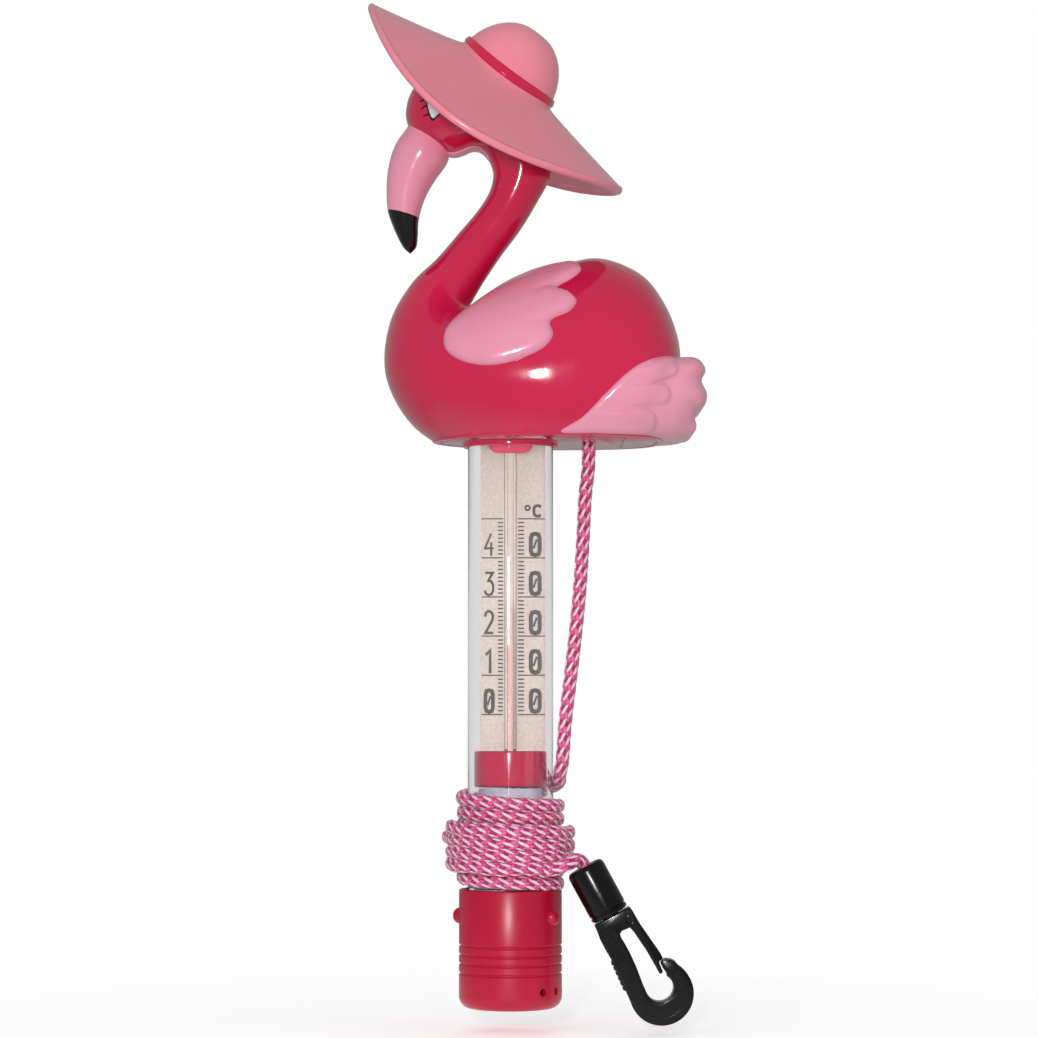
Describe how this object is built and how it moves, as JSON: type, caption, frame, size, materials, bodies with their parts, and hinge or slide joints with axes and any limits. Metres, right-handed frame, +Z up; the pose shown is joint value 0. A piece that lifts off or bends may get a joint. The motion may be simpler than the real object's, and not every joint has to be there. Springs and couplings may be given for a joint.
{
  "type": "floating pool thermometer",
  "caption": "Floating pool thermometer with a bird-shaped float in a sun hat, a clear scale tube, a perforated bulb cup and a wound braided cord with a snap hook.",
  "frame": {"origin": "on the scale tube's axis at the flat underside of the float, which is about the water line", "axes": "+Z up along the scale tube, towards the hat; -X is the way the bird looks and +X its tail; -Y is the side that the scale is read from"},
  "size_m": [0.0793, 0.0749, 0.2398],
  "materials": {
    "hot_pink": "high gloss moulded",
    "light_pink": "gloss moulded",
    "hat_pink": "gloss moulded",
    "cup_red": "satin moulded",
    "black_plastic": "satin moulded",
    "eye_white": "painted",
    "clear_plastic": "polished clear",
    "glass": "polished",
    "card": "printed card",
    "spirit": "liquid",
    "rubber": "matt",
    "steel": "plain",
    "cord": "braided"
  },
  "bodies": {
    "float": {"ballast_weight": "steel", "beak": "light_pink", "beak_tip": "black_plastic", "bulb_cup": "cup_red", "bulb_holder": "hot_pink", "bung": "rubber", "cord_knot_float": "cord", "cord_knot_hook": "cord", "cord_lead": "cord", "cord_tail": "cord", "cord_winding": "cord", "cup_pin_1": "cup_red", "cup_pin_2": "cup_red", "cup_pin_3": "cup_red", "eye_left": "eye_white", "eye_right": "eye_white", "float_base": "hot_pink", "float_shell_left": "hot_pink", "float_shell_right": "hot_pink", "glass_stem": "glass", "hat": "hat_pink", "hat_band": "hot_pink", "hat_post": "hot_pink", "hook_barrel": "black_plastic", "scale_card": "card", "scale_plug": "hot_pink", "scale_tube": "clear_plastic", "socket_o_ring": "rubber", "spacer_sleeve": "rubber", "spirit_reservoir": "spirit", "tail": "light_pink", "wing_left": "light_pink", "wing_right": "light_pink"},
    "hook": {"hook_body": "black_plastic"},
    "gate": {"hook_gate": "black_plastic"},
    "spirit": {"spirit_thread": "spirit"}
  },
  "joints": [
    {"name": "hook_swivel", "type": "hinge", "parent": "float", "child": "hook", "pos_m": [0.0231, -0.0076, -0.1099], "axis": [0.4772, 0, -0.8788], "continuous": true},
    {"name": "gate_open", "type": "hinge", "parent": "hook", "child": "gate", "pos_m": [0.02765, -0.0076, -0.11073], "axis": [0, 1, 0], "range_deg": [0, 14], "stiffness_Nm_per_rad": 0.05, "springref_deg": -2.86},
    {"name": "spirit_rise", "type": "slide", "parent": "float", "child": "spirit", "axis": [0, 0, 1], "range_m": [-0.0245, 0.0208]}
  ]
}
